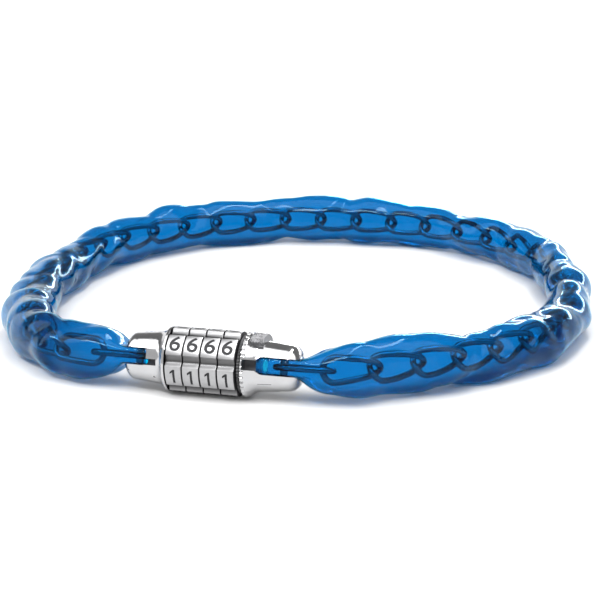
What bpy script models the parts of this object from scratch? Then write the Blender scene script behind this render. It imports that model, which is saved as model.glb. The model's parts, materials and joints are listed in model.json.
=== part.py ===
"""A four-dial combination chain lock, closed: a chromed barrel lying along X on a twisted-link
chain in a loose vinyl sleeve. Metres, +Z up. The origin is on the ground under the barrel's middle,
+X points along the barrel to the plug that pulls out, and the chain loops round behind, in +Y."""

import math

import bmesh
import bpy
from mathutils import Matrix, Vector

# Barrel and dials
AXIS_Z = 0.0120  # height of the barrel's axis, so that the dials stand on the ground
DIAL_RADIUS = 0.0120
DIAL_PITCH = 0.0066
DIAL_COUNT = 4
DIAL_BLOCK_START = -0.0150  # left side of the first dial
DIAL_GAP = 0.0003  # between a dial and its neighbour
DIAL_POSITIONS = 6
GROOVE_ANGLE = math.radians(15)  # middle of one finger groove, up from the front
GROOVE_HALF = math.radians(10)
GROOVE_DEPTH = 0.0014
BORE_RADIUS = 0.0082
CLEARANCE = 0.0003
CUTTER_REACH = 0.0150  # far enough from the axis to cut right through a cap

# Lock-work inside the dials
CORE_RADIUS = 0.0056
CORE_BORE = 0.0035
CORE_START, CORE_END, CORE_FLOOR = -0.0190, 0.0126, -0.0163
BOLT_RADIUS = 0.0031
BOLT_START, BOLT_END = -0.0159, 0.0166
LUG_THICKNESS, LUG_WIDTH, LUG_REACH = 0.0016, 0.0024, 0.0072
LUG_OFFSET = -0.0025  # from a dial's middle to the middle of its lug
RING_OFFSETS = (-0.0013, 0.0029)  # a code ring's two ends, from its dial's middle
GATE_REACH = LUG_REACH + CLEARANCE
GATE_HALF = math.radians(18)  # half the width of the gate that a lug passes through
KEY_REACH = 0.0091  # how far a code ring's key stands into its dial
KEY_HALF, KEYWAY_HALF = math.radians(10), math.radians(26)
STRIP_THICKNESS, STRIP_WIDTH, STRIP_RADIUS = 0.0004, 0.0026, 0.0045
STRIP_RISE = 0.0006
HUMP_FOOT, HUMP_TOP = 0.0016, 0.0005  # half the length of a hump at its foot and at its top
SCREW_RADIUS, SCREW_HEAD_RADIUS, SCREW_HEAD = 0.00125, 0.0024, 0.0010

# End caps
LEFT_CAP_END, RIGHT_CAP_END = -0.0332, 0.0341
LEFT_CAP_FACE = -0.0153
RING_FACES = (0.0117, 0.0129)  # the dark retaining ring
RING_RADIUS = 0.0109
RIGHT_CAP_FACE = 0.0132
SLOT_TILT = math.radians(18)  # the slots face the front, this far up
SLOT_HALF = 0.0032
LEFT_SLOT_DEPTH, RIGHT_SLOT_DEPTH = 0.0104, 0.0161
LEFT_SLOT_CORNER = 0.0016
LEFT_NOTCH, RIGHT_NOTCH = (-0.0030, -0.0007), (-0.0019, 0.0019)  # across the slot's plane
NOTCH_LENGTH, NOTCH_FLOOR = 0.0040, 0.0066  # the floor is counted from the axis
CORNER_CUT = 0.0010  # how far a notch runs back into its slot
PIN_RADIUS, PIN_HALF = 0.0015, 0.0072
LEFT_PIN_X, RIGHT_PIN_X = -0.0280, 0.0270
PAD_ANGLES = (math.radians(64), math.radians(150))
PAD_START, PAD_END = 0.0148, 0.0204
PAD_RADIUS, PAD_FLOOR = 0.0114, 0.0070
PAD_STEPS = 6

# Chain and sleeve
LINK_COUNT = 39
WIRE = 0.0024
LINK_LENGTH, LINK_WIDTH = 0.0236, 0.0118
SLEEVE_WALL = 0.0006
SLEEVE_HALF_HEIGHT, SLEEVE_HALF_DEPTH = 0.0102, 0.0079
SLEEVE_END_HALF_HEIGHT = 0.0029
SLEEVE_RINGS, SLEEVE_SIDES = 46, 10  # rings between the two opening ends
SLEEVE_INSET = 0.0019  # from an anchor pin's middle to the sleeve's end
SLEEVE_STRAIGHTS = (0.0036, 0.0056)  # the flat stretches inside the left and the right slot
SLEEVE_SPREADS = (0.014, 0.022)  # how far the left and the right end take to open out

# The chain's middle line, from the left anchor pin round the back to the right one
ROUTE = (
    (-0.0280, 0.000, 0.0120),
    (-0.0400, 0.000, 0.0120),
    (-0.0540, 0.002, 0.0118),
    (-0.0670, 0.008, 0.0115),
    (-0.0790, 0.020, 0.0112),
    (-0.0880, 0.037, 0.0110),
    (-0.0960, 0.060, 0.0110),
    (-0.1010, 0.086, 0.0110),
    (-0.1030, 0.112, 0.0110),
    (-0.1010, 0.138, 0.0110),
    (-0.0940, 0.163, 0.0110),
    (-0.0800, 0.184, 0.0110),
    (-0.0620, 0.203, 0.0110),
    (-0.0390, 0.217, 0.0110),
    (-0.0130, 0.225, 0.0110),
    (0.0140, 0.228, 0.0110),
    (0.0400, 0.225, 0.0110),
    (0.0620, 0.216, 0.0110),
    (0.0810, 0.202, 0.0110),
    (0.0970, 0.183, 0.0110),
    (0.1080, 0.160, 0.0110),
    (0.1150, 0.134, 0.0110),
    (0.1180, 0.106, 0.0110),
    (0.1160, 0.079, 0.0110),
    (0.1080, 0.057, 0.0110),
    (0.0960, 0.039, 0.0112),
    (0.0810, 0.024, 0.0115),
    (0.0660, 0.012, 0.0118),
    (0.0520, 0.003, 0.0120),
    (0.0400, 0.000, 0.0120),
    (0.0270, 0.000, 0.0120),
)

ROUND_STEPS = 32
RING_STEPS = 24
CORNER_STEPS = 4
WIRE_SIDES = 6
CHORD = 0.0030  # how far each way the sleeve's direction is taken
SPLINE_STEPS = 12  # samples between two points of the route


def clear_scene():
    for obj in list(bpy.data.objects):
        bpy.data.objects.remove(obj, do_unlink=True)


def make_material(name, colour, roughness, metallic):
    material = bpy.data.materials.new(name)
    material.use_nodes = True
    shader = material.node_tree.nodes["Principled BSDF"]
    shader.inputs["Base Color"].default_value = (*colour, 1.0)
    shader.inputs["Roughness"].default_value = roughness
    shader.inputs["Metallic"].default_value = metallic
    return material


def make_materials():
    return {
        "chrome": make_material("polished_chrome", (0.80, 0.80, 0.81), 0.12, 1.0),
        "dial": make_material("satin_zinc", (0.66, 0.66, 0.67), 0.35, 1.0),
        "dark": make_material("black_oxide", (0.03, 0.03, 0.03), 0.5, 0.6),
        "brass": make_material("brass", (0.72, 0.54, 0.24), 0.3, 1.0),
        "steel": make_material("bright_steel", (0.60, 0.61, 0.63), 0.25, 1.0),
        "vinyl": make_material("blue_vinyl", (0.0, 0.17, 0.52), 0.15, 0.0),
    }


def polar(x, radius, angle):
    """A point at angle round the barrel's axis, up from the front."""
    return Vector((x, -radius * math.cos(angle), radius * math.sin(angle)))


def tilted(x, along, across):
    """A point by how far it is along and across the slots' plane."""
    return polar(x, along, SLOT_TILT) + polar(0.0, across, SLOT_TILT + math.pi / 2)


def add_object(name, bm, material, origin):
    """The mesh becomes an object whose origin is at that place, with its points already there."""
    bmesh.ops.recalc_face_normals(bm, faces=bm.faces)
    bmesh.ops.transform(bm, matrix=Matrix.Translation(-Vector(origin)), verts=bm.verts)
    mesh = bpy.data.meshes.new(name)
    bm.to_mesh(mesh)
    bm.free()
    mesh.shade_smooth()
    mesh.set_sharp_from_angle(angle=math.radians(35))
    obj = bpy.data.objects.new(name, mesh)
    obj.location = origin
    if material:
        mesh.materials.append(material)
    bpy.context.collection.objects.link(obj)
    return obj


def boolean(obj, cutter, operation="DIFFERENCE"):
    cutter.hide_render = True
    cutter.display_type = "WIRE"
    modifier = obj.modifiers.new(cutter.name, "BOOLEAN")
    modifier.object = cutter
    modifier.operation = operation


def turned(profile, closed, steps=ROUND_STEPS):
    """A profile of (x, radius) points turned round the barrel's axis."""
    bm = bmesh.new()
    phase = math.pi / steps
    verts = [bm.verts.new(polar(x, radius, phase)) for x, radius in profile]
    pairs = list(zip(verts, verts[1:]))
    if closed:
        pairs.append((verts[-1], verts[0]))
    edges = [bm.edges.new(pair) for pair in pairs]
    bmesh.ops.spin(
        bm,
        geom=verts + edges,
        cent=(0, 0, 0),
        axis=(1, 0, 0),
        dvec=(0, 0, 0),
        angle=math.tau,
        steps=steps,
        use_merge=True,
        use_duplicate=False,
    )
    bmesh.ops.remove_doubles(bm, verts=bm.verts, dist=1e-6)
    return raised(bm)


def raised(bm):
    """Moves a shape made round X up to the barrel's axis."""
    bmesh.ops.translate(bm, verts=bm.verts, vec=(0, 0, AXIS_Z))
    return bm


def prism(points, shift):
    """An outline swept straight by shift."""
    bm = bmesh.new()
    face = bm.faces.new([bm.verts.new(point) for point in points])
    swept = bmesh.ops.extrude_face_region(bm, geom=[face])
    verts = [v for v in swept["geom"] if isinstance(v, bmesh.types.BMVert)]
    bmesh.ops.translate(bm, verts=verts, vec=shift)
    return bm


def block(x_range, along_range, across_range):
    """A box in the slots' tilted plane."""
    corners = [(x, across) for x, across in zip(
        (x_range[0], x_range[1], x_range[1], x_range[0]),
        (across_range[0], across_range[0], across_range[1], across_range[1]),
    )]
    points = [tilted(x, along_range[0], across) for x, across in corners]
    return raised(prism(points, polar(0.0, along_range[1] - along_range[0], SLOT_TILT)))


def upright_box(x_range, half_width, z_range):
    """A box with level sides, z counted from the barrel's axis."""
    low, high = z_range
    points = [
        Vector((x, y, low))
        for x, y in (
            (x_range[0], -half_width),
            (x_range[1], -half_width),
            (x_range[1], half_width),
            (x_range[0], half_width),
        )
    ]
    return raised(prism(points, Vector((0, 0, high - low))))


def rod(start, end, radius, sides=16):
    """A solid round bar between two points, given from the barrel's axis."""
    start, end = Vector(start), Vector(end)
    bm = bmesh.new()
    bmesh.ops.create_cone(
        bm,
        cap_ends=True,
        segments=sides,
        radius1=radius,
        radius2=radius,
        depth=(end - start).length,
    )
    turn = (end - start).to_track_quat("Z", "Y").to_matrix().to_4x4()
    bmesh.ops.transform(bm, matrix=Matrix.Translation((start + end) / 2) @ turn, verts=bm.verts)
    return raised(bm)


def annulus(angles, outer, inner, x_range):
    """A ring between two x, with outer and inner radius as functions of the angle."""
    bm = bmesh.new()
    loops = [
        [bm.verts.new(polar(x, radius(angle), angle)) for angle in angles]
        for x, radius in (
            (x_range[0], outer),
            (x_range[1], outer),
            (x_range[1], inner),
            (x_range[0], inner),
        )
    ]
    for loop, following in zip(loops, loops[1:] + loops[:1]):
        for i in range(len(angles)):
            j = (i + 1) % len(angles)
            bm.faces.new((loop[i], loop[j], following[j], following[i]))
    return raised(bm)


def dial_middle(number):
    return DIAL_BLOCK_START + DIAL_PITCH * (number - 0.5)


def away_from(angle, middle):
    """The smallest turn between two angles."""
    return abs((angle - middle + math.pi) % math.tau - math.pi)


def groove_distance(angle):
    sector = math.tau / DIAL_POSITIONS
    return abs((angle - GROOVE_ANGLE + sector / 2) % sector - sector / 2)


def dial_outer(angle):
    share = min(groove_distance(angle) / GROOVE_HALF, 1.0)
    return DIAL_RADIUS - GROOVE_DEPTH * math.cos(share * math.pi / 2)


def keyed(plain, keyway, half_angle, middle):
    """A radius that is plain all round but for a key, gate or notch at one angle."""
    return lambda angle: keyway if away_from(angle, middle) < half_angle else plain


def dial_angles():
    """Eight angles to each of the dial's positions: five on the face, three in the groove."""
    sector = math.tau / DIAL_POSITIONS
    steps = [GROOVE_HALF * share for share in (-0.5, 0.0, 0.5, 1.0)]
    face = sector - 2 * GROOVE_HALF
    steps += [GROOVE_HALF + face * share for share in (0.25, 0.5, 0.75, 1.0)]
    return [GROOVE_ANGLE + sector * n + step for n in range(DIAL_POSITIONS) for step in steps]


def ring_angles():
    return [math.pi / 2 + math.tau * i / RING_STEPS for i in range(RING_STEPS)]


def make_dial(number, materials):
    middle = dial_middle(number)
    half = (DIAL_PITCH - DIAL_GAP) / 2
    bore = keyed(BORE_RADIUS, KEY_REACH + CLEARANCE, KEYWAY_HALF, -math.pi / 2)
    bm = annulus(dial_angles(), dial_outer, bore, (middle - half, middle + half))
    add_object(f"dial_{number}", bm, materials["dial"], (middle, 0, AXIS_Z))


def make_code_ring(number, materials):
    middle = dial_middle(number)
    outer = keyed(BORE_RADIUS - CLEARANCE, KEY_REACH, KEY_HALF, -math.pi / 2)
    bore = keyed(CORE_RADIUS + CLEARANCE, GATE_REACH, GATE_HALF, math.pi / 2)
    bm = annulus(ring_angles(), outer, bore, tuple(middle + end for end in RING_OFFSETS))
    add_object(f"code_ring_{number}", bm, materials["brass"], (middle, 0, AXIS_Z))


def make_retaining_ring(materials):
    bore = keyed(CORE_RADIUS + CLEARANCE, GATE_REACH, GATE_HALF, math.pi / 2)
    bm = annulus(ring_angles(), lambda angle: RING_RADIUS, bore, RING_FACES)
    add_object("retaining_ring", bm, materials["dark"], (RING_FACES[0], 0, AXIS_Z))


def make_core(materials):
    """The fixed tube that the code rings turn on, slotted on top for the bolt's lugs."""
    hole = SCREW_RADIUS + CLEARANCE
    profile = [
        (CORE_START, hole),
        (CORE_START, CORE_RADIUS),
        (CORE_END, CORE_RADIUS),
        (CORE_END, CORE_BORE),
        (CORE_FLOOR, CORE_BORE),
        (CORE_FLOOR, hole),
    ]
    bm = turned(profile, True, RING_STEPS)
    core = add_object("barrel_core", bm, materials["steel"], (0, 0, AXIS_Z))
    half_width = LUG_WIDTH / 2 + CLEARANCE
    slot = upright_box((CORE_FLOOR + 0.0004, CORE_END + CLEARANCE), half_width, (0.0, LUG_REACH))
    boolean(core, add_object("core_slot", slot, None, (0, 0, AXIS_Z)))
    groove_x = (DIAL_BLOCK_START - CLEARANCE, RING_FACES[0] + CLEARANCE)
    half_width = STRIP_WIDTH / 2 + CLEARANCE
    groove = upright_box(groove_x, half_width, (-LUG_REACH, -STRIP_RADIUS + CLEARANCE / 3))
    boolean(core, add_object("core_groove", groove, None, (0, 0, AXIS_Z)))


def make_detent_strip(materials):
    """A spring strip under the code rings, with one hump for each of them."""
    line = [(DIAL_BLOCK_START, 0.0)]
    for number in range(1, DIAL_COUNT + 1):
        hump = dial_middle(number) + sum(RING_OFFSETS) / 2
        line += [(hump - HUMP_FOOT, 0.0), (hump - HUMP_TOP, STRIP_RISE)]
        line += [(hump + HUMP_TOP, STRIP_RISE), (hump + HUMP_FOOT, 0.0)]
    line += [(RING_FACES[0] - CLEARANCE, 0.0)]
    inner = [(x, STRIP_RADIUS + CLEARANCE / 2 + rise) for x, rise in line]
    outer = [(x, radius + STRIP_THICKNESS) for x, radius in reversed(inner)]
    points = [Vector((x, -STRIP_WIDTH / 2, -radius)) for x, radius in inner + outer]
    bm = raised(prism(points, Vector((0, STRIP_WIDTH, 0))))
    add_object("detent_strip", bm, materials["steel"], (0, 0, AXIS_Z))


def make_bolt(materials):
    """The plug's bolt: a round bar with a lug in front of each code ring."""
    bar = rod((BOLT_START, 0, 0), (BOLT_END, 0, 0), BOLT_RADIUS)
    bolt = add_object("locking_bolt", bar, materials["steel"], (0, 0, AXIS_Z))
    for number in range(1, DIAL_COUNT + 1):
        middle = dial_middle(number) + LUG_OFFSET
        span = (middle - LUG_THICKNESS / 2, middle + LUG_THICKNESS / 2)
        lug = upright_box(span, LUG_WIDTH / 2, (0.0, LUG_REACH))
        boolean(bolt, add_object(f"bolt_lug_{number}", lug, None, (middle, 0, AXIS_Z)), "UNION")


def make_core_screw(materials):
    """Holds the core in the left cap; its head is at the bottom of the slot."""
    head = LEFT_CAP_END + LEFT_SLOT_DEPTH + CLEARANCE
    profile = [
        (head, 0.0),
        (head, SCREW_HEAD_RADIUS),
        (head + SCREW_HEAD, SCREW_HEAD_RADIUS),
        (head + SCREW_HEAD, SCREW_RADIUS),
        (CORE_FLOOR - CLEARANCE, SCREW_RADIUS),
        (CORE_FLOOR - CLEARANCE, 0.0),
    ]
    bm = turned(profile, False, 12)
    add_object("core_screw", bm, materials["steel"], (head, 0, AXIS_Z))


def slot_outline(end, depth, corner):
    """A cap's slot seen square on: (x, across) from outside the cap's end to its rounded bottom."""
    sign = math.copysign(1.0, end)
    bottom = end - sign * depth
    outside = end + sign * CLEARANCE
    points = [(outside, -SLOT_HALF)]
    for start, middle_across in ((-math.pi / 2, corner - SLOT_HALF), (0.0, SLOT_HALF - corner)):
        for step in range(CORNER_STEPS + 1):
            angle = start + math.pi / 2 * step / CORNER_STEPS
            x = bottom + sign * (corner - corner * math.cos(angle))
            points.append((x, middle_across + corner * math.sin(angle)))
    points.append((outside, SLOT_HALF))
    return points


def cut_slot(cap, end, depth, corner, notch_across, pin_x):
    """The slot, the index notch at its bottom and the anchor pin's hole."""
    outline = [tilted(x, -CUTTER_REACH, across) for x, across in slot_outline(end, depth, corner)]
    bm = raised(prism(outline, polar(0.0, 2 * CUTTER_REACH, SLOT_TILT)))
    bmesh.ops.remove_doubles(bm, verts=bm.verts, dist=1e-6)
    boolean(cap, add_object(cap.name + "_slot", bm, None, (end, 0, AXIS_Z)))
    bottom = end - math.copysign(depth, end)
    notch_x = sorted((bottom + math.copysign(CORNER_CUT, end), bottom - math.copysign(NOTCH_LENGTH, end)))
    notch = block(notch_x, (NOTCH_FLOOR, CUTTER_REACH), notch_across)
    boolean(cap, add_object(cap.name + "_notch", notch, None, (bottom, 0, AXIS_Z)))
    top = tilted(pin_x, 0, CUTTER_REACH)
    bottom = tilted(pin_x, 0, -CUTTER_REACH)
    hole = rod(bottom, top, PIN_RADIUS + CLEARANCE)
    boolean(cap, add_object(cap.name + "_pin_hole", hole, None, (pin_x, 0, AXIS_Z)))


def make_left_cap(materials):
    """The fixed cap, with a socket for the core and a stepped hole for its screw."""
    seat = LEFT_CAP_END + LEFT_SLOT_DEPTH + SCREW_HEAD + 2 * CLEARANCE
    hole = SCREW_RADIUS + CLEARANCE
    socket_radius, socket_floor = CORE_RADIUS + CLEARANCE, CORE_START - CLEARANCE
    profile = [
        (LEFT_CAP_END, SCREW_HEAD_RADIUS + CLEARANCE),
        (LEFT_CAP_END, 0.0036),
        (-0.0322, 0.0056),
        (-0.0311, 0.0076),
        (-0.0297, 0.0088),
        (-0.0203, 0.0098),
        (-0.0184, 0.0103),
        (-0.0161, DIAL_RADIUS),
        (LEFT_CAP_FACE, DIAL_RADIUS),
        (LEFT_CAP_FACE, socket_radius),
        (socket_floor, socket_radius),
        (socket_floor, hole),
        (seat, hole),
        (seat, SCREW_HEAD_RADIUS + CLEARANCE),
    ]
    cap = add_object("left_end_cap", turned(profile, True), materials["chrome"], (0, 0, AXIS_Z))
    cut_slot(cap, LEFT_CAP_END, LEFT_SLOT_DEPTH, LEFT_SLOT_CORNER, LEFT_NOTCH, LEFT_PIN_X)


def make_right_cap(materials):
    """The plug's cap, with a wide rim, a socket for the bolt and a raised grip pad on top."""
    socket_radius, socket_floor = BOLT_RADIUS + CLEARANCE, BOLT_END + CLEARANCE
    profile = [
        (socket_floor, 0.0),
        (socket_floor, socket_radius),
        (RIGHT_CAP_FACE, socket_radius),
        (RIGHT_CAP_FACE, DIAL_RADIUS),
        (0.0149, DIAL_RADIUS),
        (0.0173, 0.0100),
        (0.0303, 0.0085),
        (0.0327, 0.0073),
        (RIGHT_CAP_END, 0.0048),
        (RIGHT_CAP_END, 0.0),
    ]
    cap = add_object("right_end_cap", turned(profile, False), materials["chrome"], (0, 0, AXIS_Z))
    angles = [
        PAD_ANGLES[0] + (PAD_ANGLES[1] - PAD_ANGLES[0]) * i / PAD_STEPS for i in range(PAD_STEPS + 1)
    ]
    outline = [polar(PAD_START, PAD_RADIUS, angle) for angle in angles]
    outline += [polar(PAD_START, PAD_FLOOR, angle) for angle in reversed(angles)]
    pad = raised(prism(outline, Vector((PAD_END - PAD_START, 0, 0))))
    boolean(cap, add_object("grip_pad", pad, None, (PAD_END, 0, AXIS_Z)), "UNION")
    cut_slot(cap, RIGHT_CAP_END, RIGHT_SLOT_DEPTH, SLOT_HALF, RIGHT_NOTCH, RIGHT_PIN_X)


def make_pin(name, x, materials):
    bm = rod(tilted(x, 0, -PIN_HALF), tilted(x, 0, PIN_HALF), PIN_RADIUS, 12)
    add_object(name, bm, materials["steel"], (x, 0, AXIS_Z))


def smooth_line(points):
    """A smooth curve through the points (Catmull-Rom)."""
    points = [Vector(point) for point in points]
    padded = [2 * points[0] - points[1], *points, 2 * points[-1] - points[-2]]
    line = []
    for a, b, c, d in zip(padded, padded[1:], padded[2:], padded[3:]):
        for step in range(SPLINE_STEPS):
            t = step / SPLINE_STEPS
            line.append(
                0.5 * (2 * b + (c - a) * t + (2 * a - 5 * b + 4 * c - d) * t**2)
                + 0.5 * (3 * b - a - 3 * c + d) * t**3
            )
    return line + [points[-1]]


class Route:
    """The chain's line, read by the distance along it."""

    def __init__(self, points):
        self.line = smooth_line(points)
        self.along = [0.0]
        for a, b in zip(self.line, self.line[1:]):
            self.along.append(self.along[-1] + (b - a).length)
        self.length = self.along[-1]

    def at(self, distance):
        """The point that far along; past either end the line runs straight on."""
        starts = range(len(self.line) - 1)
        i = max((k for k in starts if self.along[k] <= distance), default=0)
        share = (distance - self.along[i]) / (self.along[i + 1] - self.along[i])
        return self.line[i].lerp(self.line[i + 1], share)

    def frame(self, distance, reach):
        """(middle, forward, side, up) of the chord that reaches this far each way."""
        back, ahead = self.at(distance - reach), self.at(distance + reach)
        forward = (ahead - back).normalized()
        side = Vector((0, 0, 1)).cross(forward).normalized()
        return (back + ahead) / 2, forward, side, forward.cross(side)


def link_mesh(middle, forward, side, up, twist):
    """A twisted oval link: a wire round a long loop whose plane turns from one end to the other."""
    half_length, half_width = (LINK_LENGTH - WIRE) / 2, (LINK_WIDTH - WIRE) / 2
    bend = half_length - half_width
    quarter = math.pi / 4
    path = [(bend + half_width * math.cos(a), half_width * math.sin(a))
            for a in (-2 * quarter, -quarter, 0.0, quarter, 2 * quarter)]
    path = [(0.0, -half_width), *path]
    path += [(-x, -y) for x, y in path]
    points = []
    for x, y in path:
        angle = twist[0] + (twist[1] - twist[0]) * (x + half_length) / (2 * half_length)
        across = side * math.cos(angle) + up * math.sin(angle)
        points.append((middle + forward * x + across * y, forward.cross(across)))
    bm = bmesh.new()
    loops = []
    for i, (point, normal) in enumerate(points):
        along = (points[(i + 1) % len(points)][0] - points[i - 1][0]).normalized()
        outward = along.cross(normal).normalized()
        normal = outward.cross(along)
        loops.append([
            bm.verts.new(point + (outward * math.cos(a) + normal * math.sin(a)) * WIRE / 2)
            for a in (math.tau * k / WIRE_SIDES for k in range(WIRE_SIDES))
        ])
    for loop, following in zip(loops, loops[1:] + loops[:1]):
        for k in range(WIRE_SIDES):
            bm.faces.new((loop[k], loop[k - 1], following[k - 1], following[k]))
    return bm


def link_twists():
    """The planes of each link's two ends; the end links lie flat in the caps' slots."""
    twists = [(math.pi / 4, 3 * math.pi / 4)] * LINK_COUNT
    twists[0] = twists[-1] = (SLOT_TILT, SLOT_TILT)
    twists[1] = (SLOT_TILT + math.pi / 2, 3 * math.pi / 4)
    twists[-2] = (math.pi / 4, SLOT_TILT + math.pi / 2)
    return twists


def make_chain(route, materials):
    first = LINK_LENGTH / 2 - WIRE - PIN_RADIUS - CLEARANCE
    step = (route.length - 2 * first) / (LINK_COUNT - 1)
    for number, twist in enumerate(link_twists()):
        frame = route.frame(first + step * number, LINK_LENGTH / 2 - WIRE)
        add_object(f"chain_link_{number + 1:02d}", link_mesh(*frame, twist), materials["steel"], frame[0])


def eased_share(value):
    """Rises from 0 to 1, fast at first."""
    return 1 - (1 - min(max(value, 0.0), 1.0)) ** 2


def sleeve_stations(span):
    """How far from its left end the sleeve's rings are, closer together where it opens out."""
    shares = (0.0, 0.25, 0.55)
    left = [SLEEVE_STRAIGHTS[0] + SLEEVE_SPREADS[0] * share for share in shares]
    right = [span - SLEEVE_STRAIGHTS[1] - SLEEVE_SPREADS[1] * share for share in reversed(shares)]
    first, last = SLEEVE_STRAIGHTS[0] + SLEEVE_SPREADS[0], span - SLEEVE_STRAIGHTS[1] - SLEEVE_SPREADS[1]
    middle = [first + (last - first) * i / (SLEEVE_RINGS - 1) for i in range(SLEEVE_RINGS)]
    return [0.0, *left, *middle, *right, span]


def make_sleeve(route, materials):
    """A thin tube round the chain, standing on edge, flattened where the caps' slots grip it."""
    bm = bmesh.new()
    tubes = ([], [])
    span = route.length - 2 * SLEEVE_INSET
    for from_left in sleeve_stations(span):
        opened = min(
            eased_share((from_left - SLEEVE_STRAIGHTS[0]) / SLEEVE_SPREADS[0]),
            eased_share((span - from_left - SLEEVE_STRAIGHTS[1]) / SLEEVE_SPREADS[1]),
        )
        middle, _, side, up = route.frame(from_left + SLEEVE_INSET, CHORD)
        tilt = SLOT_TILT * (1 - opened)
        flat_side = side * math.cos(tilt) + up * math.sin(tilt)
        flat_up = up * math.cos(tilt) - side * math.sin(tilt)
        half_height = SLEEVE_END_HALF_HEIGHT + (SLEEVE_HALF_HEIGHT - SLEEVE_END_HALF_HEIGHT) * opened
        for tube, wall in zip(tubes, (0.0, SLEEVE_WALL)):
            tube.append([
                bm.verts.new(
                    middle
                    + flat_side * (SLEEVE_HALF_DEPTH - wall) * math.cos(a)
                    + flat_up * (half_height - wall) * math.sin(a)
                )
                for a in (math.tau * (k + 0.5) / SLEEVE_SIDES for k in range(SLEEVE_SIDES))
            ])
    outer, inner = tubes
    bands = [*zip(outer, outer[1:]), *zip(inner[1:], inner), (inner[0], outer[0]), (outer[-1], inner[-1])]
    for loop, following in bands:
        for k in range(SLEEVE_SIDES):
            bm.faces.new((loop[k], loop[k - 1], following[k - 1], following[k]))
    add_object("vinyl_sleeve", bm, materials["vinyl"], (0, 0, AXIS_Z))


def main():
    clear_scene()
    materials = make_materials()
    make_left_cap(materials)
    make_right_cap(materials)
    make_core(materials)
    make_core_screw(materials)
    make_bolt(materials)
    make_detent_strip(materials)
    make_retaining_ring(materials)
    make_pin("left_anchor_pin", LEFT_PIN_X, materials)
    make_pin("right_anchor_pin", RIGHT_PIN_X, materials)
    for number in range(1, DIAL_COUNT + 1):
        make_dial(number, materials)
        make_code_ring(number, materials)
    route = Route(ROUTE)
    make_chain(route, materials)
    make_sleeve(route, materials)


main()
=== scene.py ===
"""The looks of a four-dial combination chain lock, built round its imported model: a chromed barrel
with numbered dials, on a twisted-link chain inside a crumpled sleeve of translucent vinyl film.
Metres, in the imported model's own frame. The file is laid out as an add-on and is run as a script."""

import json
import math

import bmesh
import bpy
from mathutils import Matrix, Vector, noise
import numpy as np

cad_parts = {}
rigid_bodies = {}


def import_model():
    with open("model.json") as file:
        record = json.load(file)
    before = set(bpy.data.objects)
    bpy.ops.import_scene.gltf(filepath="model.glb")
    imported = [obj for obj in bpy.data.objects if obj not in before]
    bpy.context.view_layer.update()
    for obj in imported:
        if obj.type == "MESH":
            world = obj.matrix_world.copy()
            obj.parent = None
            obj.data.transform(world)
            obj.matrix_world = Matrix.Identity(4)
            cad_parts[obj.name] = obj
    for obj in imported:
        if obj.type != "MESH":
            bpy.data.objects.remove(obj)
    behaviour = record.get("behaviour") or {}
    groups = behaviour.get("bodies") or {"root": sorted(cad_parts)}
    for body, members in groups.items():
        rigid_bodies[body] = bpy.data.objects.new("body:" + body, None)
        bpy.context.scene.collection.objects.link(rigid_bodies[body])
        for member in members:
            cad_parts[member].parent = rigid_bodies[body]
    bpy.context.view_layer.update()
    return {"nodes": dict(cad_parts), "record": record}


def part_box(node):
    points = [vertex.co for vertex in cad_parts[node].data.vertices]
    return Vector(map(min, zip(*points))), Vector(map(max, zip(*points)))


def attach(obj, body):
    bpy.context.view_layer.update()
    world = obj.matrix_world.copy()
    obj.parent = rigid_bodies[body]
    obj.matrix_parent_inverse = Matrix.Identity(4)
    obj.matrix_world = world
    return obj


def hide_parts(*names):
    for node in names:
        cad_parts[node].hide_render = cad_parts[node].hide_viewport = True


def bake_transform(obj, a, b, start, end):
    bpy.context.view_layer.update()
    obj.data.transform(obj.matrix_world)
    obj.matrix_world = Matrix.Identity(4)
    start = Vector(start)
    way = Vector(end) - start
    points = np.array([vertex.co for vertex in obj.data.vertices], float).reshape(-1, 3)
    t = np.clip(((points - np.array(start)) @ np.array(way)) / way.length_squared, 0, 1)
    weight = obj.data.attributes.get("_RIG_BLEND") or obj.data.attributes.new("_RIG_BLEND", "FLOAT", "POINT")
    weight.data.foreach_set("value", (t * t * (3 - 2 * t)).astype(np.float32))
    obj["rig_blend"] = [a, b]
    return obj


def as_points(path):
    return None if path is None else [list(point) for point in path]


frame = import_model()

bl_info = {
    "name": "Combination Chain Lock",
    "version": (1, 0, 0),
    "blender": (4, 5, 0),
    "location": "3D Viewport > Sidebar > Chain Lock",
    "description": "Builds the visible pieces of a combination chain lock round its packed model",
    "category": "Add Mesh",
}

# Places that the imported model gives
LOWEST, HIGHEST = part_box("dial_1")
AXIS_Z = (LOWEST.z + HIGHEST.z) / 2
DIAL_RADIUS = (HIGHEST.z - LOWEST.z) / 2
DIAL_SPANS = [(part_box(f"dial_{k}")[0].x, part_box(f"dial_{k}")[1].x) for k in range(1, 5)]
LEFT_CAP_X = (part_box("left_end_cap")[0].x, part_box("left_end_cap")[1].x)
RIGHT_CAP_X = (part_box("right_end_cap")[0].x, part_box("right_end_cap")[1].x)
RING_X = (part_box("retaining_ring")[0].x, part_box("retaining_ring")[1].x)
LEFT_PIN_X = (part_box("left_anchor_pin")[0].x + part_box("left_anchor_pin")[1].x) / 2
RIGHT_PIN_X = (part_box("right_anchor_pin")[0].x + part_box("right_anchor_pin")[1].x) / 2
LINK_COUNT = sum(name.startswith("chain_link_") for name in frame["nodes"])

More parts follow.
